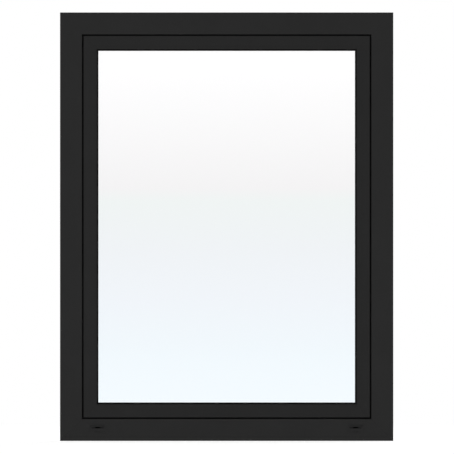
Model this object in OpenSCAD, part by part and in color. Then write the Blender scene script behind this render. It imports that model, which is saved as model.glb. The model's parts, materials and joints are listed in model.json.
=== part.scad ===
// Side-hung casement window in thermally broken aluminium.
// It opens into the room and closes flush on the outside.
//
// The origin is the middle of the frame's underside, at half of the frame's depth.
// +Z is up, the outside faces -Y, the room is on the +Y side and the hinges are at -X.
//
// Every profile is drawn as [v, u]: v is the depth behind the outside face, and
// u is the distance in from the frame's outer edge. Names that end in _v and _u hold
// such places, and a pair of them is [from, to]. on_side() turns a bar that is drawn
// along the sill to the side of the window where it belongs.

/* [Window] */
// Width over the outer frame
win_w = 700; // [660:10:1000]
// Height over the outer frame
win_h = 900; // [800:10:1400]
// Thickness of the aluminium walls
wall = 2; // [1.6:0.1:2]

/* [Outer frame] */
// Width of the frame's face seen from outside
frame_face = 46; // [46:0.5:48]
// Shadow gap between frame and sash
shadow_gap = 3.5; // [3:0.5:4]
// Distance from the middle of the sill to each drain slot
drain_x = 271; // [150:1:275]
// Height of the drain slots above the underside
drain_z = 28; // [28:0.5:30]

/* [Sash] */
// Width of the sash's aluminium face seen from outside
sash_face = 27.5; // [27.5:0.5:30]
// Width of the gasket that shows beside the glass
gasket_sight = 3; // [2:0.5:3]

/* [Glass] */
// Thickness of each pane
pane_t = 4; // [4:1:5]
// Space between the two panes
glass_space = 16; // [14:1:16]

/* [Hinges] */
// Distance of each hinge's middle from the top or bottom
hinge_inset = 130; // [130:1:200]
// Radius of the hinge barrel
barrel_r = 8; // [7.5:0.5:8]
// Radius of the hinge pin
hinge_pin_r = 4; // [3:0.5:4]

/* [Handle and locking gear] */
// Length of the lever from its axis
lever_l = 118; // [100:1:140]
// Distance of the lock stile's rollers from the handle
roller_reach = 200; // [120:5:220]
// Place of the rollers in the two rails, from the middle
rail_roller_x = 50; // [0:5:120]

/* [Wall fixings] */
// Radius of the fixing holes in the jambs
fixing_r = 4; // [3:0.5:4]
// Distance of the fixing holes from the top and bottom
fixing_inset = 150; // [150:5:220]

/* [Hidden] */
$fn = 64;

coat = [0.17, 0.17, 0.17];
rubber = [0.06, 0.06, 0.06];
polyamide = [0.1, 0.1, 0.1];
steel = [0.72, 0.73, 0.75];
zinc = [0.6, 0.61, 0.63];
glass = [0.8, 0.9, 0.92, 0.35];

// How far a cut runs past the faces that it opens
cut = 1;
// How far two shapes of one piece run into each other
weld = 0.5;

// Depths, from the outside face
frame_d = 65;
sash_d = 75;
shell_d = 22;
frame_inner_v = frame_d - 19;
sash_inner_v = sash_d - 31;
outside_y = -frame_d / 2;
fixing_v = (frame_inner_v + frame_d) / 2;
glass_v = 12;
glass_end_v = glass_v + 2 * pane_t + glass_space;
bead_v = glass_end_v + 5;
bead_end_v = sash_d - 0.5;
groove_v = 57;
groove_w = 20;
groove_mouth = 14;
groove_start = groove_v - groove_w / 2;
groove_end = groove_v + groove_w / 2;

// Distances in from the frame's outer edge
frame_hollow_u = 24;
frame_inner_u = 27;
flange_u = 23;
sash_u = frame_face + shadow_gap;
groove_floor_u = 42;
groove_top_u = 38;
rebate_u = 62;
glaze_u = sash_u + sash_face;
sight_u = glaze_u + gasket_sight;
glass_u = 67;
bar_reach = 100;

// Ribs, lips and walls of the profiles
lip_t = 1.4;
face_lip = 3;
glaze_lip = 4;
groove_wall = 1.5;
rebate_wall = 1.8;
rib_t = 1.5;
rib_d = 3;
bead_chamfer = [6, 7];

// Thermal strips, by the edge of each that is nearer the frame's edge
strip_t = 2;
strip_end_gap = 0.1;
frame_strips_u = [0, 19];
sash_strips_u = [sash_u + 2.5, rebate_u - 5];
nose_v = [30, 32];
nose_u = 44;

// Corner cleats, seals and glass edge
cleat_leg = 45;
centre_foot_v = [27, 35];
centre_foot_t = 2.5;
centre_lip_root_v = [29, 32.5];
centre_lip_tip_v = [27.6, 29.6];
centre_lip_u = 45.5;
stop_gasket_w = 3.5;
seal_gap = 0.3;
glazing_gasket_t = 4;
glazing_gasket_bite = 3;
glazing_gasket_step = 0.5;
sealant_w = 4;
spacer_w = 7;
packer_l = 80;
packer_inset = 160;
packer_gap = 0.2;

// Drain cap, with its heights measured from the middle of the slot
trough_w = 25;
cap_wall = 1.2;
drain_w = trough_w + 2 * cap_wall;
drain_h = 5.8;
drain_fit = 0.1;
cap_rim = 2;
cap_z = [-10.5, 4.5];
plug_d = 6;
trough_z = [-1.6, 1.4];
trough_floor = 1.5;
hood_d = 0.6;
outlet_w = 10;
notch_w = 12;
notch_z = [-9.6, -6];
notch_floor = 0.3;

// Hinges, with the pin's axis at [hinge_v, hinge_u]
hinge_v = 84;
hinge_u = 17;
hinge_heights = [hinge_inset, win_h - hinge_inset];
leaf_t = 3;
knuckle_h = 30;
knuckle_gap = 1.5;
bush_r = hinge_pin_r + 1;
run_fit = 0.05;
knuckle_pitch = knuckle_h + knuckle_gap;
frame_leaf_h = 120;
frame_leaf_u = [2, 21];
sash_leaf_h = 3 * knuckle_h + 2 * knuckle_gap;
sash_leaf_u = [25, 56];
bush_gap = 0.5;
bush_flange_gap = 0.3;
pin_cap_t = 3;
frame_leaf_screws = [[-53, 12], [53, 12]];
sash_leaf_screws = [[-34, 50], [-12, 50], [12, 50], [34, 50]];
screw_r = 2;
screw_hole_r = screw_r + 0.05;
screw_head_r = 3.6;
screw_head_t = 1.8;
screw_l = 12;
socket_r = 1.5;
socket_floor = 0.6;

// Gear: a pinion on the handle's spindle drives a rack on the lock rod
gear_module = 1.25;
gear_teeth = 12;
pressure_angle = 25;
addendum = 1;
dedendum = 1.25;
tooth_slack = 0.2;
tooth_root = 0.1;
flank_step = 0.3;
pitch_r = gear_module * gear_teeth / 2;
base_r = pitch_r * cos(pressure_angle);
rack_pitch = PI * gear_module;
pitch_line_u = 42.9;
handle_u = pitch_line_u + pitch_r;
gear_v = [53, 61];
gear_side_gap = 0.2;
gear_tip_gap = 0.4;
case_v = [50, 64];
case_u = [44.2, 60];
case_l = 50;
boss_r = 3.4;
hub_r = 5;
spindle_w = 7;
spindle_v = [48, 100];
rod_u = 39.7;
rod_t = 1.5;
rod_v = [groove_start + 0.3, groove_end - 0.3];
rod_travel = pitch_r * PI / 2;
rod_end_gap = 3;
rack_teeth = [-5, 1];
rack_slot_l = 42;
rack_slot_w = 10;
corner_leg = 75;
drive_u = [rod_u - 0.1, groove_floor_u - 0.2];
lock_rod_room = win_h / 2 - rod_u - corner_leg - rod_end_gap;
rail_rod_room = win_w / 2 - rod_u - corner_leg - rod_end_gap;
rail_rod_start = -120;
roller_r = 4;
roller_u = [30.2, 37.5];
roller_stem_r = 3;
locking_sides = ["lock", "head", "sill"];

// Striker plates, with places along the bar measured from the roller
keep_l = 50;
keep_v = [47.5, 64.5];
keep_screw_x = 20;
keep_lip_x = [-10, 6];
keep_lip_v = [61.4, 64.4];
keep_lip_u = 36;

// Handle
rosette_end_v = 86;
rosette_size = [26, 68];
rosette_top_t = 2.5;
rosette_base_size = [22, 62];
rosette_base_t = 5;
rosette_fit = 0.4;
rosette_screw_x = 21.5;
rosette_screw_l = 27;
rosette_hole_v = [52, 82];
neck_r = 8.5;
neck_room = 1;
neck_start_v = 76;
lever_v = [106, 118];
lever_hub_r = 11;
lever_tip_r = 8.5;
lever_side_inset = 0.1;

// ---------------------------------------------------------------- layout

// Turns what is drawn along the sill to one of the four sides
module on_side(side) {
    if (side == "sill") children();
    if (side == "head") translate([0, 0, win_h]) mirror([0, 0, 1]) children();
    if (side == "hinge") translate([-win_w / 2, 0, win_h / 2]) rotate([0, 90, 0]) children();
    if (side == "lock") mirror([1, 0, 0]) on_side("hinge") children();
}

function side_length(side) = side == "sill" || side == "head" ? win_w : win_h;

// A rectangle between two depths and two distances from the edge
module cell(v0, v1, u0, u1) translate([v0, u0]) square([v1 - v0, u1 - u0]);

// A box on the sill side: x range, depth range and distance from the edge
module block(x, v, u) translate([x[0], outside_y + v[0], u[0]])
    cube([x[1] - x[0], v[1] - v[0], u[1] - u[0]]);

// The same, centred along the bar and given by its length
module wide_block(length, v, u) block([-length / 2, length / 2], v, u);

// A straight bar of a profile with both ends cut at 45 degrees
module bar(side, end_gap = 0) {
    length = side_length(side);
    half = length / 2 - end_gap;
    on_side(side) intersection() {
        translate([0, outside_y, 0]) rotate([90, 0, 90])
            linear_extrude(length, center = true) children();
        rotate([90, 0, 0]) linear_extrude(4 * sash_d, center = true)
            polygon([[-half, 0], [half, 0], [half - bar_reach, bar_reach],
                [bar_reach - half, bar_reach]]);
    }
}

// The same profile on all four sides
module all_bars(end_gap = 0) for (side = ["sill", "head", "hinge", "lock"])
    bar(side, end_gap) children();

// A closed rectangular ring between two depths and two distances from the edge
module ring(v, u) translate([0, outside_y + v[0], win_h / 2]) rotate([-90, 0, 0])
    linear_extrude(v[1] - v[0]) difference() {
        square([win_w - 2 * u[0], win_h - 2 * u[0]], center = true);
        square([win_w - 2 * u[1], win_h - 2 * u[1]], center = true);
    }

// Places children in all four corners, or in the two on the lock side
module at_corners(lock_side_only = false) for (top = [0, 1]) {
    translate([0, 0, top * win_h]) mirror([0, 0, top]) {
        translate([win_w / 2, 0, 0]) mirror([1, 0, 0]) children();
        if (!lock_side_only) translate([-win_w / 2, 0, 0]) children();
    }
}

// An L of square legs that turns the corner
module corner_angle(v, u, leg) {
    block([u[0], u[0] + leg], v, u);
    block(u, v, [u[0], u[0] + leg]);
}

// A cylinder along the depth, at a place along the bar
module depth_rod(x, v, u, r) translate([x, outside_y + v[0], u]) rotate([-90, 0, 0])
    cylinder(h = v[1] - v[0], r = r);

// A cylinder that stands across the bar
module cross_rod(x, v, u, r) translate([x, outside_y + v, u[0]])
    cylinder(h = u[1] - u[0], r = r);

// A stadium-shaped plate along the bar, for the rosette
module stadium(v, size) translate([0, outside_y + v[0], handle_u])
    rotate([-90, 0, 0]) linear_extrude(v[1] - v[0]) {
        square([size[1] - size[0], size[0]], center = true);
        for (end = [-1, 1]) translate([end * (size[1] - size[0]) / 2, 0]) circle(d = size[0]);
    }

// A pan-head screw with a hexagon socket; the head's underside is at the origin
module screw(length) difference() {
    union() {
        cylinder(h = screw_head_t, r = screw_head_r);
        translate([0, 0, -length]) cylinder(h = length, r = screw_r);
    }
    translate([0, 0, socket_floor]) cylinder(h = screw_head_t, r = socket_r, $fn = 6);
}

// A screw driven from the room towards the outside
module depth_screw(x, v, u, length) translate([x, outside_y + v, u]) rotate([-90, 0, 0])
    screw(length);

// ---------------------------------------------------------------- frame profiles

module frame_outer_profile() {
    difference() {
        cell(0, shell_d, 0, frame_hollow_u);
        cell(wall, shell_d - wall, wall, frame_hollow_u - wall);
    }
    cell(0, wall, frame_hollow_u, frame_face);
    cell(0, wall + face_lip, frame_face - wall, frame_face);
}

module frame_inner_profile() difference() {
    cell(frame_inner_v, frame_d, 0, frame_inner_u);
    cell(frame_inner_v + wall, frame_d - wall, wall, frame_inner_u - wall);
}

module fixing_holes() for (x = [-1, 1])
    cross_rod(x * (win_h / 2 - fixing_inset), fixing_v, [-cut, frame_inner_u + cut], fixing_r);

// The outer shells carry the visible face; the sill's face has the drain slots
module frame_outer(side) color(coat) difference() {
    bar(side) frame_outer_profile();
    if (side == "sill") for (x = [-drain_x, drain_x]) translate([x, 0, drain_z])
        wide_block(drain_w + 2 * drain_fit, [-cut, wall + cut],
            [-drain_h / 2 - drain_fit, drain_h / 2 + drain_fit]);
}

// The inner shells carry the wall fixings, the hinges and the striker plates
module frame_inner(side) color(coat) difference() {
    bar(side) frame_inner_profile();
    if (side == "hinge" || side == "lock") on_side(side) fixing_holes();
    if (side == "hinge") for (z = hinge_heights) frame_leaf_holes(z);
    at_keeps(side) for (x = [-keep_screw_x, keep_screw_x])
        cross_rod(x, groove_v, [frame_inner_u - wall - cut, frame_inner_u + cut], screw_hole_r);
}

// Two glass-filled strips on each side hold the shells together
module frame_thermal_breaks() color(polyamide) all_bars(strip_end_gap)
    for (u = frame_strips_u) cell(shell_d, frame_inner_v, u, u + strip_t);

module frame_corner_cleats() color(zinc) at_corners() {
    corner_angle([wall, shell_d - wall], [wall, frame_hollow_u - wall], cleat_leg);
    corner_angle([frame_inner_v + wall, frame_d - wall], [wall, frame_inner_u - wall], cleat_leg);
}

// A foot on the inner thermal strip and a lip that reaches for the sash's nose
module centre_gasket() color(rubber) all_bars() {
    foot_u = frame_strips_u[1] + strip_t;
    root_u = foot_u + centre_foot_t - weld;
    cell(centre_foot_v[0], centre_foot_v[1], foot_u, foot_u + centre_foot_t);
    polygon([[centre_lip_root_v[0], root_u], [centre_lip_root_v[1], root_u],
        [centre_lip_tip_v[1], centre_lip_u], [centre_lip_tip_v[0], centre_lip_u]]);
}

// A push-in cap: a trough under a small hood, with the outlet in its middle and a
// thumb notch below it
module drain_cap(x) color(coat) translate([x, 0, drain_z]) difference() {
    union() {
        wide_block(drain_w + 2 * cap_rim, [-cap_wall, 0], cap_z);
        wide_block(drain_w, [0, plug_d], [-drain_h / 2, drain_h / 2]);
        wide_block(drain_w, [-cap_wall - hood_d, -cap_wall], [trough_z[1], trough_z[1] + cap_wall]);
    }
    wide_block(trough_w, [-cap_wall - cut, trough_floor], trough_z);
    wide_block(outlet_w, [0, plug_d + cut], trough_z);
    wide_block(notch_w, [-cap_wall - cut, -notch_floor], notch_z);
}

// ---------------------------------------------------------------- locking points

// Places children where a roller sits when the window is locked. Local +X is
// the way the roller moves to unlock.
module at_keeps(side) on_side(side) {
    if (side == "lock") for (x = [-1, 1]) translate([x * roller_reach, 0, 0]) children();
    if (side == "head") translate([rail_roller_x, 0, 0]) children();
    if (side == "sill") translate([rail_roller_x, 0, 0]) mirror([1, 0, 0]) children();
}

// A plate on the frame's rebate with a lip on the room side of the roller
module striker_plates() color(zinc) for (side = locking_sides) at_keeps(side) difference() {
    union() {
        wide_block(keep_l, keep_v, [frame_inner_u, frame_inner_u + wall]);
        block(keep_lip_x, keep_lip_v, [frame_inner_u, keep_lip_u]);
    }
    for (x = [-keep_screw_x, keep_screw_x])
        cross_rod(x, groove_v, [frame_inner_u - cut, frame_inner_u + wall + cut], screw_hole_r);
}

module striker_screws() color(steel) for (side = locking_sides) at_keeps(side)
    for (x = [-keep_screw_x, keep_screw_x])
        translate([x, outside_y + groove_v, frame_inner_u + wall]) screw(screw_l);

// A flat connecting rod in the sash's groove, between two places along the bar
module groove_rod(side, from, to) color(steel) on_side(side)
    block([from, to], rod_v, [rod_u, rod_u + rod_t]);

module rollers(side) color(zinc) at_keeps(side) {
    cross_rod(0, groove_v, roller_u, roller_r);
    cross_rod(0, groove_v, [roller_u[1], rod_u], roller_stem_r);
}

// The rack's teeth stand on the rod and reach through the groove's floor
module lock_rod() {
    rack_v = gear_v + [gear_side_gap, -gear_side_gap];
    groove_rod("lock", -lock_rod_room, lock_rod_room - rod_travel);
    color(steel) on_side("lock") {
        block([rack_teeth[0] * rack_pitch, (rack_teeth[1] + 1) * rack_pitch], rack_v,
            [rod_u + rod_t, pitch_line_u - dedendum]);
        translate([0, outside_y + rack_v[1], pitch_line_u]) rotate([90, 0, 0])
            linear_extrude(rack_v[1] - rack_v[0]) for (k = [rack_teeth[0] : rack_teeth[1]])
                translate([(k + 0.5) * rack_pitch, 0]) rack_tooth();
    }
}

module rack_tooth() {
    half = rack_pitch / 4 - tooth_slack / 2;
    foot = half + dedendum * tan(pressure_angle);
    tip = half - addendum * tan(pressure_angle);
    polygon([[-foot, -dedendum - tooth_root], [foot, -dedendum - tooth_root],
        [foot, -dedendum], [tip, addendum], [-tip, addendum], [-foot, -dedendum]]);
}

module head_rod() groove_rod("head", rail_rod_start, rail_rod_room - rod_travel);
module sill_rod() groove_rod("sill", rail_rod_start + rod_travel, rail_rod_room);

module corner_drives() color(zinc) at_corners(lock_side_only = true)
    corner_angle(rod_v, drive_u, corner_leg);

// ---------------------------------------------------------------- gear

// Angle between a tooth's middle and its involute flank at radius r
function involute(a) = tan(a) * 180 / PI - a;
function flank_angle(r) = (rack_pitch / 2 - tooth_slack) / pitch_r * 90 / PI
    + involute(pressure_angle) - involute(acos(base_r / max(r, base_r)));
flank_radii = [pitch_r - dedendum, base_r, pitch_r - flank_step, pitch_r + flank_step,
    pitch_r + addendum];
function polar(r, a) = [r * cos(a), r * sin(a)];

module pinion_outline() polygon([for (tooth = [0 : gear_teeth - 1], way = [-1, 1],
    i = way < 0 ? [0 : 1 : 4] : [4 : -1 : 0])
    polar(flank_radii[i], tooth * 360 / gear_teeth + way * flank_angle(flank_radii[i]))]);

module gearbox_pinion() color(steel) on_side("lock") difference() {
    union() {
        translate([0, outside_y + gear_v[1], handle_u]) rotate([90, 0, 0])
            linear_extrude(gear_v[1] - gear_v[0]) rotate(-90) pinion_outline();
        depth_rod(0, case_v, handle_u, hub_r);
    }
    spindle_bar(case_v + [-cut, cut]);
}

module spindle_bar(v)
    wide_block(spindle_w, v, [handle_u - spindle_w / 2, handle_u + spindle_w / 2]);

module handle_spindle() color(steel) on_side("lock") spindle_bar(spindle_v);

// Open towards the rack; two bosses reach the stile's wall for the rosette screws
module gearbox_case() color(zinc) on_side("lock") difference() {
    union() {
        wide_block(case_l, case_v, case_u);
        at_rosette_screws() depth_rod(0, [case_v[1], sash_d - wall], handle_u, boss_r);
    }
    depth_rod(0, gear_v + [-gear_side_gap, gear_side_gap], handle_u,
        pitch_r + addendum + gear_tip_gap);
    depth_rod(0, case_v + [-cut, cut], handle_u, hub_r + run_fit);
    rosette_screw_holes();
}

module at_rosette_screws() for (x = [-1, 1]) translate([x * rosette_screw_x, 0, 0]) children();

module rosette_screw_holes() at_rosette_screws()
    depth_rod(0, rosette_hole_v, handle_u, screw_hole_r);

// The round hole in which the lever's neck turns
module neck_hole() depth_rod(0, [sash_d - cut, rosette_end_v + cut], handle_u, neck_r + run_fit);

// ---------------------------------------------------------------- handle

module rosette_base() color(zinc) on_side("lock") difference() {
    stadium([sash_d, sash_d + rosette_base_t], rosette_base_size);
    neck_hole();
    rosette_screw_holes();
}

module rosette_cover() color(coat) on_side("lock") difference() {
    stadium([sash_d, rosette_end_v], rosette_size);
    stadium([sash_d - cut, rosette_end_v - rosette_top_t],
        rosette_base_size + [rosette_fit, rosette_fit]);
    neck_hole();
}

module rosette_screws() color(steel) on_side("lock") at_rosette_screws()
    depth_screw(0, sash_d + rosette_base_t, handle_u, rosette_screw_l);

// A round neck on the spindle and a flat grip that hangs down when locked
module handle_lever() color(coat) on_side("lock") difference() {
    tip_x = lever_l - lever_tip_r;
    root_half = lever_hub_r - lever_side_inset;
    union() {
        depth_rod(0, [neck_start_v, lever_v[0]], handle_u, neck_r);
        depth_rod(0, lever_v, handle_u, lever_hub_r);
        depth_rod(tip_x, lever_v, handle_u, lever_tip_r);
        translate([0, outside_y + lever_v[1], handle_u]) rotate([90, 0, 0])
            linear_extrude(lever_v[1] - lever_v[0]) polygon([[0, -root_half],
                [tip_x, -lever_tip_r], [tip_x, lever_tip_r], [0, root_half]]);
    }
    spindle_bar([neck_start_v - cut, spindle_v[1]]);
}

// ---------------------------------------------------------------- sash profiles

module sash_outer_profile() {
    difference() {
        cell(0, shell_d, sash_u, rebate_u);
        cell(wall, shell_d - wall, sash_u + wall, rebate_u - wall);
    }
    cell(0, wall, rebate_u, glaze_u);
    cell(0, glass_v - glazing_gasket_t, glaze_u - glaze_lip, glaze_u);
}

module sash_inner_profile() {
    outer_rib_u = flange_u + rib_t + stop_gasket_w;
    difference() {
        cell(sash_inner_v, sash_d, groove_floor_u, rebate_u);
        cell(sash_inner_v + wall, sash_d - wall, groove_floor_u + groove_wall,
            rebate_u - rebate_wall);
    }
    cell(sash_inner_v, groove_start, groove_top_u, groove_floor_u);
    cell(groove_end, groove_end + rib_d, groove_top_u, groove_floor_u);
    cell(sash_inner_v, groove_v - groove_mouth / 2, groove_top_u, groove_top_u + lip_t);
    cell(groove_v + groove_mouth / 2, groove_end + rib_d, groove_top_u, groove_top_u + lip_t);
    cell(sash_d - wall, sash_d, flange_u, groove_floor_u);
    cell(sash_d - wall - rib_d, sash_d, flange_u, flange_u + rib_t);
    cell(sash_d - wall - rib_d, sash_d, outer_rib_u, outer_rib_u + rib_t);
}

module sash_outer(side) color(coat) bar(side) sash_outer_profile();

// The inner shells hold the locking gear's groove, the beads and the hinges
module sash_inner(side) color(coat) difference() {
    bar(side) sash_inner_profile();
    if (side == "hinge") for (z = hinge_heights) sash_leaf_holes(z);
    if (side == "lock") on_side(side) {
        wide_block(rack_slot_l, [groove_v - rack_slot_w / 2, groove_v + rack_slot_w / 2],
            [groove_floor_u - cut, groove_floor_u + groove_wall + cut]);
        depth_rod(0, [sash_d - wall - cut, sash_d + cut], handle_u, neck_r + neck_room);
        rosette_screw_holes();
    }
}

// The strip beside the gap carries the nose that the centre gasket seals against
module sash_thermal_breaks() color(polyamide) all_bars(strip_end_gap) {
    for (u = sash_strips_u) cell(shell_d, sash_inner_v, u, u + strip_t);
    cell(nose_v[0], nose_v[1], nose_u, sash_strips_u[0]);
}

module sash_corner_cleats() color(zinc) at_corners() {
    corner_angle([wall, shell_d - wall], [sash_u + wall, rebate_u - wall], cleat_leg);
    corner_angle([sash_inner_v + wall, sash_d - wall],
        [groove_floor_u + groove_wall, rebate_u - rebate_wall], cleat_leg);
}

module stop_gasket() color(rubber)
    ring([frame_d + seal_gap, sash_d - wall], [flange_u + rib_t, flange_u + rib_t + stop_gasket_w]);

// ---------------------------------------------------------------- glazing

module pane(v) color(glass) translate([-win_w / 2 + glass_u, outside_y + v, glass_u])
    cube([win_w - 2 * glass_u, pane_t, win_h - 2 * glass_u]);

module glass_spacer_bar() color(steel)
    ring([glass_v + pane_t, glass_end_v - pane_t],
        [glass_u + sealant_w, glass_u + sealant_w + spacer_w]);

module glass_edge_sealant() color(rubber)
    ring([glass_v + pane_t, glass_end_v - pane_t], [glass_u, glass_u + sealant_w]);

module outer_glazing_gasket() color(rubber) {
    lip_v = glass_v - glazing_gasket_t;
    ring([lip_v, glass_v], [glass_u + glazing_gasket_bite, sight_u]);
    ring([lip_v - glazing_gasket_t, lip_v], [glaze_u, sight_u - glazing_gasket_step]);
}

module inner_glazing_gasket() color(rubber)
    ring([glass_end_v, bead_v], [glass_u + glazing_gasket_bite, sight_u]);

// A hollow square bead with a chamfer towards the room
module glazing_bead(side) color(coat) bar(side) difference() {
    slant = norm(bead_chamfer);
    polygon([[bead_v, rebate_u], [bead_end_v, rebate_u],
        [bead_end_v, sight_u - bead_chamfer[1]], [bead_end_v - bead_chamfer[0], sight_u],
        [bead_v, sight_u]]);
    polygon([[bead_v + wall, rebate_u + wall], [bead_end_v - wall, rebate_u + wall],
        [bead_end_v - wall,
            sight_u - bead_chamfer[1] - wall * (slant - bead_chamfer[1]) / bead_chamfer[0]],
        [bead_end_v - bead_chamfer[0] - wall * (slant - bead_chamfer[0]) / bead_chamfer[1],
            sight_u - wall],
        [bead_v + wall, sight_u - wall]]);
}

// Blocks between the glass edge and the rebate, near the corners
module glazing_packers() color("steelblue") for (side = ["sill", "head", "hinge", "lock"])
    on_side(side) for (way = [-1, 1]) {
        middle = way * (side_length(side) / 2 - packer_inset);
        translate([middle, 0, 0])
            wide_block(packer_l, [glass_v, bead_v - packer_gap], [rebate_u, glass_u]);
    }

// ---------------------------------------------------------------- hinges

// Places children with the pin's axis as Z and the hinge's middle at the origin
module at_hinge(z) translate([hinge_u - win_w / 2, outside_y + hinge_v, z]) children();

// A slice of hinge drawn as [x, y] from the pin's axis
module hinge_slice(height) linear_extrude(height, center = true) children();

// The section of a leaf's plate between two distances from the frame's edge
module leaf_plate(u, face_v) translate([u[0] - hinge_u, face_v - hinge_v])
    square([u[1] - u[0], leaf_t]);

// Screws and their holes, given by height and distance from the frame's edge
module at_leaf_screws(places, face_v) for (place = places)
    translate([place[1] - hinge_u, face_v - hinge_v, place[0]]) rotate([-90, 0, 0]) children();

module screw_hole() translate([0, 0, -screw_l - cut])
    cylinder(h = screw_l + 2 * cut, r = screw_hole_r);

module frame_leaf_holes(z) at_hinge(z)
    at_leaf_screws(frame_leaf_screws, frame_d + leaf_t) screw_hole();

module sash_leaf_holes(z) at_hinge(z)
    at_leaf_screws(sash_leaf_screws, sash_d + leaf_t) screw_hole();

module frame_leaf(z) color(coat) difference() {
    at_hinge(z) difference() {
        union() {
            hinge_slice(frame_leaf_h) leaf_plate(frame_leaf_u, frame_d);
            for (way = [-1, 1]) translate([0, 0, way * knuckle_pitch]) hinge_slice(knuckle_h) {
                circle(r = barrel_r);
                translate([-barrel_r, frame_d - hinge_v + leaf_t - weld])
                    square([barrel_r, hinge_v - frame_d - leaf_t + weld]);
            }
        }
        cylinder(h = 2 * frame_leaf_h, r = hinge_pin_r, center = true);
    }
    frame_leaf_holes(z);
}

module sash_leaf(z) color(coat) difference() {
    at_hinge(z) difference() {
        union() {
            hinge_slice(sash_leaf_h) leaf_plate(sash_leaf_u, sash_d);
            hinge_slice(knuckle_h) {
                circle(r = barrel_r);
                leaf_plate([hinge_u, sash_leaf_u[0] + weld], sash_d);
            }
        }
        cylinder(h = 2 * knuckle_h, r = bush_r, center = true);
    }
    sash_leaf_holes(z);
}

// The pin is fixed in the frame's knuckles and closed by a cap at each end
module hinge_pin(z) color(steel) at_hinge(z) {
    cylinder(h = sash_leaf_h, r = hinge_pin_r, center = true);
    for (way = [-1, 1]) translate([0, 0, way * (sash_leaf_h + pin_cap_t) / 2])
        cylinder(h = pin_cap_t, r = barrel_r, center = true);
}

// Two flanged bushes in each sash knuckle
module hinge_bushes() color(polyamide) for (z = hinge_heights) at_hinge(z) for (way = [0, 1])
    mirror([0, 0, way]) difference() {
        union() {
            translate([0, 0, bush_gap]) cylinder(h = knuckle_h / 2 - bush_gap, r = bush_r);
            translate([0, 0, knuckle_h / 2])
                cylinder(h = knuckle_gap - bush_flange_gap, r = barrel_r - 1);
        }
        cylinder(h = knuckle_h, r = hinge_pin_r + run_fit);
    }

module hinge_frame_screws() color(steel) for (z = hinge_heights) at_hinge(z)
    at_leaf_screws(frame_leaf_screws, frame_d + leaf_t) screw(screw_l);

module hinge_sash_screws() color(steel) for (z = hinge_heights) at_hinge(z)
    at_leaf_screws(sash_leaf_screws, sash_d + leaf_t) screw(screw_l);

// ---------------------------------------------------------------- nodes

frame_outer("head");  // frame_outer_head
frame_outer("sill");  // frame_outer_sill
frame_outer("hinge");  // frame_outer_hinge_jamb
frame_outer("lock");  // frame_outer_lock_jamb
frame_inner("head");  // frame_inner_head
frame_inner("sill");  // frame_inner_sill
frame_inner("hinge");  // frame_inner_hinge_jamb
frame_inner("lock");  // frame_inner_lock_jamb
frame_thermal_breaks();
frame_corner_cleats();
centre_gasket();
drain_cap(-drain_x);  // drain_cap_left
drain_cap(drain_x);  // drain_cap_right
striker_plates();
striker_screws();
frame_leaf(hinge_heights[1]);  // upper_hinge_frame_leaf
frame_leaf(hinge_heights[0]);  // lower_hinge_frame_leaf
hinge_pin(hinge_heights[1]);  // upper_hinge_pin
hinge_pin(hinge_heights[0]);  // lower_hinge_pin
hinge_frame_screws();
sash_outer("head");  // sash_outer_top_rail
sash_outer("sill");  // sash_outer_bottom_rail
sash_outer("hinge");  // sash_outer_hinge_stile
sash_outer("lock");  // sash_outer_lock_stile
sash_inner("head");  // sash_inner_top_rail
sash_inner("sill");  // sash_inner_bottom_rail
sash_inner("hinge");  // sash_inner_hinge_stile
sash_inner("lock");  // sash_inner_lock_stile
sash_thermal_breaks();
sash_corner_cleats();
stop_gasket();
pane(glass_v);  // outer_glass_pane
pane(glass_end_v - pane_t);  // inner_glass_pane
glass_spacer_bar();
glass_edge_sealant();
outer_glazing_gasket();
inner_glazing_gasket();
glazing_bead("head");  // glazing_bead_top
glazing_bead("sill");  // glazing_bead_bottom
glazing_bead("hinge");  // glazing_bead_hinge_side
glazing_bead("lock");  // glazing_bead_lock_side
glazing_packers();
sash_leaf(hinge_heights[1]);  // upper_hinge_sash_leaf
sash_leaf(hinge_heights[0]);  // lower_hinge_sash_leaf
hinge_bushes();
hinge_sash_screws();
gearbox_case();
corner_drives();
rosette_base();
rosette_cover();
rosette_screws();
handle_lever();
handle_spindle();
gearbox_pinion();
lock_rod();
rollers("lock");  // lock_rod_rollers
head_rod();
rollers("head");  // head_rod_roller
sill_rod();
rollers("sill");  // sill_rod_roller
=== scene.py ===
"""Looks of the casement window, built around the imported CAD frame."""
import math

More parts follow.
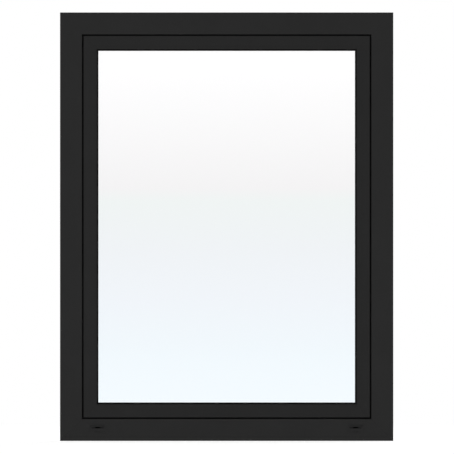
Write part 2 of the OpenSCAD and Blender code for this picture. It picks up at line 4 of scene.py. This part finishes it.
import bmesh
import bpy
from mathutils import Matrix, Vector
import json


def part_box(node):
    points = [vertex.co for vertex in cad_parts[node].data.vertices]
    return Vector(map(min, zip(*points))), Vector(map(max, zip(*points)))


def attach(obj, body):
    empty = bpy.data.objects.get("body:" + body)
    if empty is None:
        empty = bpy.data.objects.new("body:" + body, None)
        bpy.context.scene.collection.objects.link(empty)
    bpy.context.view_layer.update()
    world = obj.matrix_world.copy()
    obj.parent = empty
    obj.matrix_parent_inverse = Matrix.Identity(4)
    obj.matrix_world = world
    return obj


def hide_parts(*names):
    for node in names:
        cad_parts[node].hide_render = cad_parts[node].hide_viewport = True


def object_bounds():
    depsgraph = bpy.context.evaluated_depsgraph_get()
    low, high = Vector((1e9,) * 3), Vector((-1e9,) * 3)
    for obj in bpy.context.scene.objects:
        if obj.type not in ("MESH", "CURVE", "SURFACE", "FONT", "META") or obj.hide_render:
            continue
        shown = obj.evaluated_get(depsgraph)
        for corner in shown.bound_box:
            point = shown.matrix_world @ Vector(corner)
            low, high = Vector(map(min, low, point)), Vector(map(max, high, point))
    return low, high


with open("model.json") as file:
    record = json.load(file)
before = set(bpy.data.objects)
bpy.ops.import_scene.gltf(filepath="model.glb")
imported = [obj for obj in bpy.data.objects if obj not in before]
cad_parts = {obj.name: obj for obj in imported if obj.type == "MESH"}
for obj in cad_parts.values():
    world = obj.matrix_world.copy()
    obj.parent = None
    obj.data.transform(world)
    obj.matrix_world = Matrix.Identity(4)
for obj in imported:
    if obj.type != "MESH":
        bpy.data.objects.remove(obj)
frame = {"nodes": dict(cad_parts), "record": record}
cad_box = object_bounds()
low, high = (Vector(corner) for corner in cad_box)

# Lengths are in metres. The outside of the window faces -Y.
MM = 0.001
WINDOW_H = high.z - low.z
MIDDLE_Z = (high.z + low.z) / 2
OUTSIDE_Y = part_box("frame_outer_sill")[0].y

# ------------------------------------------------------------------ shader helpers


class Nodes:
    """A material's node tree, with short calls for the nodes that the looks need."""

    def __init__(self, name):
        self.material = bpy.data.materials.new(name)
        self.material.use_nodes = True
        self.tree = self.material.node_tree
        self.shader = self.tree.nodes["Principled BSDF"]
        self.place = self.add("ShaderNodeTexCoord").outputs["Object"]

    def add(self, kind, **inputs):
        node = self.tree.nodes.new(kind)
        for key, value in inputs.items():
            self.feed(node.inputs[key.replace("_", " ")], value)
        return node

    def feed(self, socket, value):
        if isinstance(value, bpy.types.NodeSocket):
            self.tree.links.new(value, socket)
        else:
            socket.default_value = value

    def set(self, **inputs):
        for key, value in inputs.items():
            self.feed(self.shader.inputs[key.replace("_", " ")], value)

    def stretched(self, scale):
        """Object coordinates scaled by axis, for streaks along a direction."""
        mapping = self.add("ShaderNodeMapping", Vector=self.place)
        mapping.inputs["Scale"].default_value = scale
        return mapping.outputs["Vector"]

    def noise(self, scale, detail=2.0, roughness=0.5, place=None):
        node = self.add("ShaderNodeTexNoise", Vector=place or self.place, Scale=scale,
                        Detail=detail, Roughness=roughness)
        return node.outputs["Fac"]

    def cells(self, scale):
        node = self.add("ShaderNodeTexVoronoi", Vector=self.place, Scale=scale)
        return node.outputs["Distance"]

    def spread(self, value, low_out, high_out, low_in=0.3, high_in=0.7):
        node = self.add("ShaderNodeMapRange", Value=value, From_Min=low_in, From_Max=high_in,
                        To_Min=low_out, To_Max=high_out)
        return node.outputs["Result"]

    def tones(self, value, first, second, start=0.3, end=0.7):
        ramp = self.add("ShaderNodeValToRGB", Fac=value)
        for element, place, color in zip(ramp.color_ramp.elements, (start, end), (first, second)):
            element.position = place
            element.color = (*color, 1)
        return ramp.outputs["Color"]

    def combine(self, operation, first, second):
        node = self.add("ShaderNodeMath")
        node.operation = operation
        self.feed(node.inputs[0], first)
        self.feed(node.inputs[1], second)
        return node.outputs["Value"]

    def bump(self, height, strength, distance, under=None):
        node = self.add("ShaderNodeBump", Height=height, Strength=strength, Distance=distance)
        if under:
            self.feed(node.inputs["Normal"], under)
        return node.outputs["Normal"]


def grey(value):
    return (value, value, value)


# ------------------------------------------------------------------ materials

# Noise and cell scales are in repeats to the metre; a bump's depth is in millimetres.
COAT_TONE_SPREAD = 0.06
COAT_CLOUD_SCALE = 14
COAT_PEEL_COARSER = 9


def powder_coat(name, tone, grain, roughness, specular):
    """Fine-texture powder coat: tight grains over a slow orange peel."""
    m = Nodes(name)
    grains = m.noise(grain, detail=3, roughness=0.6)
    peel = m.noise(grain / COAT_PEEL_COARSER, detail=1)
    cloud = m.noise(COAT_CLOUD_SCALE, detail=4)
    m.set(Base_Color=m.tones(cloud, grey(tone * (1 - COAT_TONE_SPREAD)),
                             grey(tone * (1 + COAT_TONE_SPREAD))),
          Roughness=m.spread(grains, roughness - 0.06, roughness + 0.07),
          Specular_IOR_Level=specular,
          Normal=m.bump(grains, 0.35, 0.06 * MM, m.bump(peel, 0.18, 0.12 * MM)))
    return m.material


def extruded_rubber():
    """EPDM with faint draw lines and a dusting of talc."""
    m = Nodes("epdm_rubber")
    speckle = m.noise(900, detail=3)
    dust = m.noise(45, detail=5)
    m.set(Base_Color=m.tones(dust, grey(0.002), grey(0.005)),
          Roughness=m.spread(speckle, 0.72, 0.88),
          Specular_IOR_Level=0.12,
          Normal=m.bump(speckle, 0.3, 0.04 * MM))
    return m.material


def glass_filled_nylon():
    """Extruded polyamide with short fibre flecks."""
    m = Nodes("polyamide")
    flecks = m.cells(1400)
    skin = m.noise(1100, detail=3)
    m.set(Base_Color=m.tones(flecks, grey(0.026), grey(0.014), 0.05, 0.25),
          Roughness=m.spread(skin, 0.56, 0.66),
          Normal=m.bump(skin, 0.2, 0.03 * MM))
    return m.material


def die_cast_zinc():
    """Satin zinc casting with a mottled skin."""
    m = Nodes("die_cast_zinc")
    mottle = m.noise(120, detail=5, roughness=0.65)
    pits = m.noise(1100, detail=2)
    m.set(Base_Color=m.tones(mottle, grey(0.24), grey(0.33)),
          Metallic=0.9,
          Roughness=m.spread(mottle, 0.4, 0.54),
          Normal=m.bump(pits, 0.25, 0.05 * MM))
    return m.material


def plated_steel():
    """Blue zinc plating with fine drawn streaks along the height."""
    m = Nodes("plated_steel")
    streaks = m.noise(90, detail=4, place=m.stretched((14, 14, 1)))
    cloud = m.noise(60, detail=3)
    m.set(Base_Color=m.tones(cloud, (0.29, 0.3, 0.32), (0.36, 0.37, 0.385)),
          Metallic=1.0,
          Roughness=m.spread(streaks, 0.32, 0.46),
          Normal=m.bump(streaks, 0.2, 0.02 * MM))
    return m.material


def spacer_bar():
    """Matt warm-edge bar with a row of breather perforations along it."""
    m = Nodes("warm_edge_spacer")
    holes = m.cells(420)
    m.set(Base_Color=m.tones(holes, grey(0.006), grey(0.028), 0.08, 0.16),
          Roughness=m.spread(m.noise(300), 0.55, 0.68),
          Normal=m.bump(holes, 0.3, 0.1 * MM))
    return m.material


def float_glass():
    """Clear pane with the slight draw waves of float glass."""
    m = Nodes("float_glass")
    draw = m.noise(5, detail=1, place=m.stretched((1, 1, 0.35)))
    film = m.noise(9, detail=4)
    m.set(Base_Color=(0.985, 0.996, 0.99, 1),
          Transmission_Weight=1.0,
          IOR=1.5,
          Roughness=m.spread(film, 0.0, 0.012),
          Normal=m.bump(draw, 0.02, 0.2 * MM))
    return m.material


OUTSIDE_COAT = powder_coat("outside_powder_coat", 0.0145, 1500, 0.6, 0.25)
# Painted shade: the sash's outer coat is the frame's powder coat made darker, for the shade on the
# sash set back behind the frame
PAINTED_SHADE_SASH_COAT = powder_coat("sash_powder_coat_painted_shade", 0.0119, 1500, 0.6, 0.25)
INSIDE_COAT = powder_coat("inside_powder_coat", 0.0175, 1700, 0.55, 0.4)
HARDWARE_COAT = powder_coat("hardware_powder_coat", 0.016, 2600, 0.42, 0.5)
RUBBER = extruded_rubber()
POLYAMIDE = glass_filled_nylon()
ZINC = die_cast_zinc()
STEEL = plated_steel()
SPACER = spacer_bar()
GLASS = float_glass()

SLOT_MATERIALS = {
    "outside_coat": OUTSIDE_COAT,
    "inside_coat": INSIDE_COAT,
    "hardware_coat": HARDWARE_COAT,
    "polyamide": POLYAMIDE,
    "rubber": RUBBER,
    "zinc": ZINC,
    "steel": STEEL,
    "spacer": SPACER,
    "glass": GLASS,
}


def give_material(obj, material):
    for slot in obj.material_slots:
        slot.material = material
    if not obj.material_slots:
        obj.data.materials.append(material)


# ------------------------------------------------------------------ CAD nodes

# Width of the small radius that every visible edge has
EDGE_WIDTHS = {
    "outside_coat": 0.15 * MM,
    "inside_coat": 0.4 * MM,
    "hardware_coat": 0.8 * MM,
    "polyamide": 0.3 * MM,
    "rubber": 0.5 * MM,
    "zinc": 0.3 * MM,
    "steel": 0.2 * MM,
    "glass": 0.4 * MM,
}


WELD_REACH = 0.002 * MM
FLAT_ANGLE = math.radians(0.5)
SHARP_ANGLE = math.radians(35)
EDGE_SEGMENTS = 2


def soften_edges(obj, width):
    """Joins the split faces, clears their diagonals and rounds the sharp edges."""
    weld = obj.modifiers.new("weld", "WELD")
    weld.merge_threshold = WELD_REACH
    planar = obj.modifiers.new("planar", "DECIMATE")
    planar.decimate_type = "DISSOLVE"
    planar.angle_limit = FLAT_ANGLE
    bevel = obj.modifiers.new("bevel", "BEVEL")
    bevel.width = width
    bevel.segments = EDGE_SEGMENTS
    bevel.limit_method = "ANGLE"
    bevel.angle_limit = SHARP_ANGLE
    bevel.harden_normals = True
    bevel.use_clamp_overlap = True


def dress_cad_nodes():
    slots = {part["node"]: part["material_slot"] for part in frame["record"]["subparts"]}
    for name, obj in frame["nodes"].items():
        slot = slots[name]
        material = SLOT_MATERIALS[slot]
        # The sash's outer faces take the darker copy of the coat, painted shade of their recess
        if name.startswith("sash_outer"):
            material = PAINTED_SHADE_SASH_COAT
        give_material(obj, material)
        if slot in EDGE_WIDTHS:
            soften_edges(obj, EDGE_WIDTHS[slot])


# ------------------------------------------------------------------ handle lever


def rounded_section(half_w, half_t, corner, steps=5):
    """Points of a rounded rectangle, as (x, y) around its middle."""
    points = []
    for quarter in range(4):
        turn = math.pi / 2 * quarter
        sign_x = 1 if quarter in (0, 3) else -1
        sign_y = 1 if quarter in (0, 1) else -1
        for step in range(steps + 1):
            angle = turn + math.pi / 2 * step / steps
            points.append((sign_x * (half_w - corner) + corner * math.cos(angle),
                           sign_y * (half_t - corner) + corner * math.sin(angle)))
    return points


def bridge(mesh, rings):
    """Skins a row of vertex rings and closes both ends with a fan."""
    for first, second in zip(rings, rings[1:]):
        count = len(first)
        for i in range(count):
            j = (i + 1) % count
            mesh.faces.new((first[i], first[j], second[j], second[i]))
    for ring, flip in ((rings[0], True), (rings[-1], False)):
        middle = mesh.verts.new(sum((v.co for v in ring), Vector()) / len(ring))
        for i, vert in enumerate(ring):
            after = ring[(i + 1) % len(ring)]
            mesh.faces.new((after, vert, middle) if flip else (vert, after, middle))


TIP_R = 8.5 * MM
GRIP_T = 12 * MM
# Sections in each round end of the grip, and in the straight taper between them
END_STEPS = 6
TAPER_STEPS = 9
# The grip is thinner where it is narrower, down to this share of its thickness
THIN_SHARE = 0.55
NARROWEST = 1.2 * MM
CORNER_SHARE = 0.72
NECK_R = 8.45 * MM
NECK_CLEARANCE = 0.1 * MM
NECK_ROOT_SHARE = 0.94
NECK_ROOT_L = 0.8 * MM
NECK_SIDES = 48
# The flare, as distance from the grip's middle plane and growth over the neck's radius
FLARE = ((14 * MM, 0), (9 * MM, 0.3 * MM), (6.4 * MM, 1.1 * MM))
# The flare's last rings, as distance from that plane and inset from the hub's radius
FLARE_ROOT = ((4 * MM, 1.2 * MM), (0, 1.6 * MM))
SMOOTH_LEVELS = 2


def build_lever():
    """A slim grip with a crowned face and a round neck that flares into it."""
    lever_low, lever_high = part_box("handle_lever")
    hub_r = (lever_high.x - lever_low.x) / 2
    axis_x = (lever_high.x + lever_low.x) / 2
    axis_z = lever_high.z - hub_r
    grip_y = lever_high.y - GRIP_T / 2
    length = axis_z - lever_low.z - TIP_R
    mesh = bmesh.new()

    # The grip, as sections from the top of the hub down to the tip
    stations = []
    for i in range(END_STEPS + 1):
        angle = math.pi / 2 * (1 - i / END_STEPS)
        stations.append((axis_z + hub_r * math.sin(angle), hub_r * math.cos(angle)))
    for i in range(1, TAPER_STEPS):
        along = i / TAPER_STEPS
        stations.append((axis_z - along * length, hub_r + (TIP_R - hub_r) * along))
    for i in range(END_STEPS + 1):
        angle = math.pi / 2 * i / END_STEPS
        stations.append((axis_z - length - TIP_R * math.sin(angle), TIP_R * math.cos(angle)))
    rings = []
    for z, half_w in stations:
        half_w = max(half_w, NARROWEST)
        half_t = GRIP_T / 2 * min(1, THIN_SHARE + (1 - THIN_SHARE) * half_w / TIP_R)
        corner = min(half_w, half_t) * CORNER_SHARE
        ring = [mesh.verts.new((axis_x + x, grip_y + y, z))
                for x, y in rounded_section(half_w, half_t, corner)]
        rings.append(ring)
    bridge(mesh, rings)

    # The neck, turned about the spindle's axis and flared where it meets the grip
    neck_start = lever_low.y + NECK_CLEARANCE
    profile = [(neck_start, NECK_R * NECK_ROOT_SHARE), (neck_start + NECK_ROOT_L, NECK_R)]
    profile += [(grip_y - back, NECK_R + growth) for back, growth in FLARE]
    profile += [(grip_y - back, hub_r - inset) for back, inset in FLARE_ROOT]
    neck_rings = []
    for y, radius in profile:
        neck_rings.append([
            mesh.verts.new((axis_x + radius * math.cos(2 * math.pi * k / NECK_SIDES), y,
                            axis_z + radius * math.sin(2 * math.pi * k / NECK_SIDES)))
            for k in range(NECK_SIDES)])
    bridge(mesh, neck_rings)

    bmesh.ops.recalc_face_normals(mesh, faces=mesh.faces)
    data = bpy.data.meshes.new("lever_grip")
    mesh.to_mesh(data)
    mesh.free()
    data.shade_smooth()
    lever = bpy.data.objects.new("lever_grip", data)
    bpy.context.scene.collection.objects.link(lever)
    smooth = lever.modifiers.new("smooth", "SUBSURF")
    smooth.levels = SMOOTH_LEVELS
    smooth.render_levels = SMOOTH_LEVELS
    give_material(lever, HARDWARE_COAT)
    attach(lever, "handle")
    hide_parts("handle_lever")


# ------------------------------------------------------------------ studio

# The camera stands far off on a long lens, so that the profiles hide their own depth
CAMERA_DISTANCE = 26.49
CAMERA_LENS = 1000
CAMERA_SENSOR = 36
CAMERA_REACH = 120
# How far the camera stands right of and below the window's middle
CAMERA_OFFSET = 0.7 * MM
# The surroundings' strength as a light; they look white to the camera
WORLD_LIGHT = 0.17

PAINTED_REFLECTION_Y = 3.0
PAINTED_REFLECTION_SIZE = (7, 2.4)
# Painted reflection, seen through the glass: height as a share of the window's, and the light that
# the glass lets through there, graded to stand in for the sky and room reflected in the panes
PAINTED_REFLECTION_SHADES = (
    (0.12, (0.93, 0.98, 1.04)),
    (0.2, (0.935, 0.985, 1.045)),
    (0.33, (0.93, 0.95, 1.01)),
    (0.45, (0.92, 0.93, 0.97)),
    (0.56, (0.92, 0.94, 0.945)),
    (0.59, (0.96, 0.93, 0.95)),
    (0.72, (1.02, 0.99, 1.01)),
    (0.86, (1.08, 1.05, 1.07)),
)
# A ray that goes straight through two panes has met this many surfaces
PANE_SURFACES = 4
COUNT_TOLERANCE = 0.5

FLOOR_SIZE = 60
FLOOR_GAP = 0.5 * MM
FLOOR_TONE = 0.8
# Distances from the window's middle between which the floor fades to white
FLOOR_FADE = (0.5, 2.2)
FLOOR_GLOW = 0.76
# Distances between which the floor dims as a light
FLOOR_DIM = (2.5, 20.0)

# Name, place, size and power of each soft light; all point at the window's middle
SOFTBOXES = (
    ("key_front", (-1.6, -3.4, 1.5), (2.4, 1.6), 22),
    ("fill_front", (2.2, -3.2, 0.9), (1.6, 2.2), 12),
    ("key_room", (1.8, 3.2, 2.4), (2.4, 1.6), 60),
    ("fill_room", (-2.2, 2.8, 1.0), (1.6, 2.2), 26),
)


def glow_by_height(name, stops, low_z, high_z):
    """A glow that changes over its height, between two heights in the scene."""
    material = bpy.data.materials.new(name)
    material.use_nodes = True
    tree = material.node_tree
    tree.nodes.clear()
    place = tree.nodes.new("ShaderNodeNewGeometry")
    split = tree.nodes.new("ShaderNodeSeparateXYZ")
    height = tree.nodes.new("ShaderNodeMapRange")
    height.inputs["From Min"].default_value = low_z
    height.inputs["From Max"].default_value = high_z
    ramp = tree.nodes.new("ShaderNodeValToRGB")
    elements = ramp.color_ramp.elements
    while len(elements) < len(stops):
        elements.new(0.5)
    for element, (position, color) in zip(elements, stops):
        element.position = position
        element.color = (*color, 1)
    glow = tree.nodes.new("ShaderNodeEmission")
    # Rays that haven't gone straight through the panes pass the sheet
    path = tree.nodes.new("ShaderNodeLightPath")
    straight = tree.nodes.new("ShaderNodeMath")
    straight.operation = "COMPARE"
    straight.inputs[1].default_value = PANE_SURFACES
    straight.inputs[2].default_value = COUNT_TOLERANCE
    clear = tree.nodes.new("ShaderNodeBsdfTransparent")
    mix = tree.nodes.new("ShaderNodeMixShader")
    out = tree.nodes.new("ShaderNodeOutputMaterial")
    tree.links.new(place.outputs["Position"], split.inputs[0])
    tree.links.new(split.outputs["Z"], height.inputs["Value"])
    tree.links.new(height.outputs["Result"], ramp.inputs["Fac"])
    tree.links.new(ramp.outputs["Color"], glow.inputs["Color"])
    tree.links.new(path.outputs["Ray Depth"], straight.inputs[0])
    tree.links.new(straight.outputs["Value"], mix.inputs["Fac"])
    tree.links.new(clear.outputs["BSDF"], mix.inputs[1])
    tree.links.new(glow.outputs["Emission"], mix.inputs[2])
    tree.links.new(mix.outputs["Shader"], out.inputs["Surface"])
    return material


def plane(name, size_x, size_y, place, rotation=(0, 0, 0)):
    data = bpy.data.meshes.new(name)
    corners = [(sx * size_x / 2, sy * size_y / 2, 0)
               for sx, sy in ((-1, -1), (1, -1), (1, 1), (-1, 1))]
    data.from_pydata(corners, [], [(0, 1, 2, 3)])
    obj = bpy.data.objects.new(name, data)
    obj.location = place
    obj.rotation_euler = rotation
    bpy.context.scene.collection.objects.link(obj)
    return obj


def build_painted_reflection_sheet():
    """A graded glowing sheet behind the window, seen only through its glass: a painted reflection
    of sky and room in the panes.
    """
    backdrop = plane("painted_reflection_sheet", *PAINTED_REFLECTION_SIZE, (0, PAINTED_REFLECTION_Y, MIDDLE_Z),
                     (math.radians(90), 0, 0))
    reach = 1 + PAINTED_REFLECTION_Y / CAMERA_DISTANCE
    seen_h = WINDOW_H * reach
    # Painted reflection: the sheet glows in graded colours seen only through the panes, and lights
    # nothing
    material = glow_by_height("painted_reflection_glow", PAINTED_REFLECTION_SHADES, MIDDLE_Z - seen_h / 2,
                              MIDDLE_Z + seen_h / 2)
    backdrop.data.materials.append(material)
    backdrop.visible_camera = False
    backdrop.visible_diffuse = False
    backdrop.visible_glossy = False
    backdrop.visible_shadow = False


def build_floor():
    """A pale floor that fades to the white of the background around the window."""
    floor = plane("studio_floor", FLOOR_SIZE, FLOOR_SIZE, (0, 0, low.z - FLOOR_GAP))
    m = Nodes("pale_floor")
    away = m.add("ShaderNodeVectorMath", Vector=m.place)
    away.operation = "LENGTH"
    distance = away.outputs["Value"]
    share = m.spread(distance, 0.0, 1.0, *FLOOR_FADE)
    glow = m.spread(share, FLOOR_GLOW, 1.0, 0.0, 1.0)
    # The far floor is dimmer as a light, like the world around it
    path = m.add("ShaderNodeLightPath")
    seen = m.combine("MAXIMUM", path.outputs["Is Camera Ray"], path.outputs["Is Transmission Ray"])
    lit = m.combine("MAXIMUM", seen, m.spread(distance, 1.0, WORLD_LIGHT, *FLOOR_DIM))
    m.set(Base_Color=m.tones(share, grey(FLOOR_TONE), grey(0.0), 0, 1),
          Roughness=0.8,
          Specular_IOR_Level=0.0,
          Emission_Color=(1, 1, 1, 1),
          Emission_Strength=m.combine("MULTIPLY", glow, lit))
    # From below, the floor is clear
    side = m.add("ShaderNodeNewGeometry")
    clear = m.add("ShaderNodeBsdfTransparent")
    mix = m.add("ShaderNodeMixShader", Fac=side.outputs["Backfacing"])
    m.feed(mix.inputs[1], m.shader.outputs["BSDF"])
    m.feed(mix.inputs[2], clear.outputs["BSDF"])
    m.feed(m.tree.nodes["Material Output"].inputs["Surface"], mix.outputs["Shader"])
    floor.data.materials.append(m.material)


def softbox(name, place, aim, size, power):
    data = bpy.data.lights.new(name, "AREA")
    data.shape = "RECTANGLE"
    data.size, data.size_y = size
    data.energy = power
    light = bpy.data.objects.new(name, data)
    light.location = place
    direction = Vector(aim) - Vector(place)
    light.rotation_euler = direction.to_track_quat("-Z", "Y").to_euler()
    light.visible_camera = False
    light.visible_transmission = False
    bpy.context.scene.collection.objects.link(light)


def build_world():
    """White to look at, dimmer as a light, so that black surfaces keep their depth."""
    world = bpy.data.worlds.new("studio")
    bpy.context.scene.world = world
    world.use_nodes = True
    tree = world.node_tree
    background = tree.nodes["Background"]
    path = tree.nodes.new("ShaderNodeLightPath")
    seen = tree.nodes.new("ShaderNodeMath")
    seen.operation = "MAXIMUM"
    strength = tree.nodes.new("ShaderNodeMapRange")
    strength.inputs["To Min"].default_value = WORLD_LIGHT
    strength.inputs["To Max"].default_value = 1.0
    tree.links.new(path.outputs["Is Camera Ray"], seen.inputs[0])
    tree.links.new(path.outputs["Is Transmission Ray"], seen.inputs[1])
    tree.links.new(seen.outputs["Value"], strength.inputs["Value"])
    tree.links.new(strength.outputs["Result"], background.inputs["Strength"])
    background.inputs["Color"].default_value = (1, 1, 1, 1)


def build_studio():
    build_world()
    build_floor()
    build_painted_reflection_sheet()
    for name, place, size, power in SOFTBOXES:
        softbox(name, place, (0, 0, MIDDLE_Z), size, power)
    scene = bpy.context.scene
    scene.view_settings.view_transform = "Standard"
    scene.view_settings.look = "None"
    scene.view_settings.exposure = 0
    scene.view_settings.gamma = 1


def build_camera():
    """Level and straight in front of the outside face, on a long lens."""
    data = bpy.data.cameras.new("camera")
    data.lens = CAMERA_LENS
    data.sensor_width = CAMERA_SENSOR
    data.clip_end = CAMERA_REACH
    camera = bpy.data.objects.new("camera", data)
    camera.location = (CAMERA_OFFSET, OUTSIDE_Y - CAMERA_DISTANCE, MIDDLE_Z - CAMERA_OFFSET)
    camera.rotation_euler = (math.radians(90), 0, 0)
    bpy.context.scene.collection.objects.link(camera)
    bpy.context.scene.camera = camera


build_camera()
dress_cad_nodes()
build_lever()
build_studio()
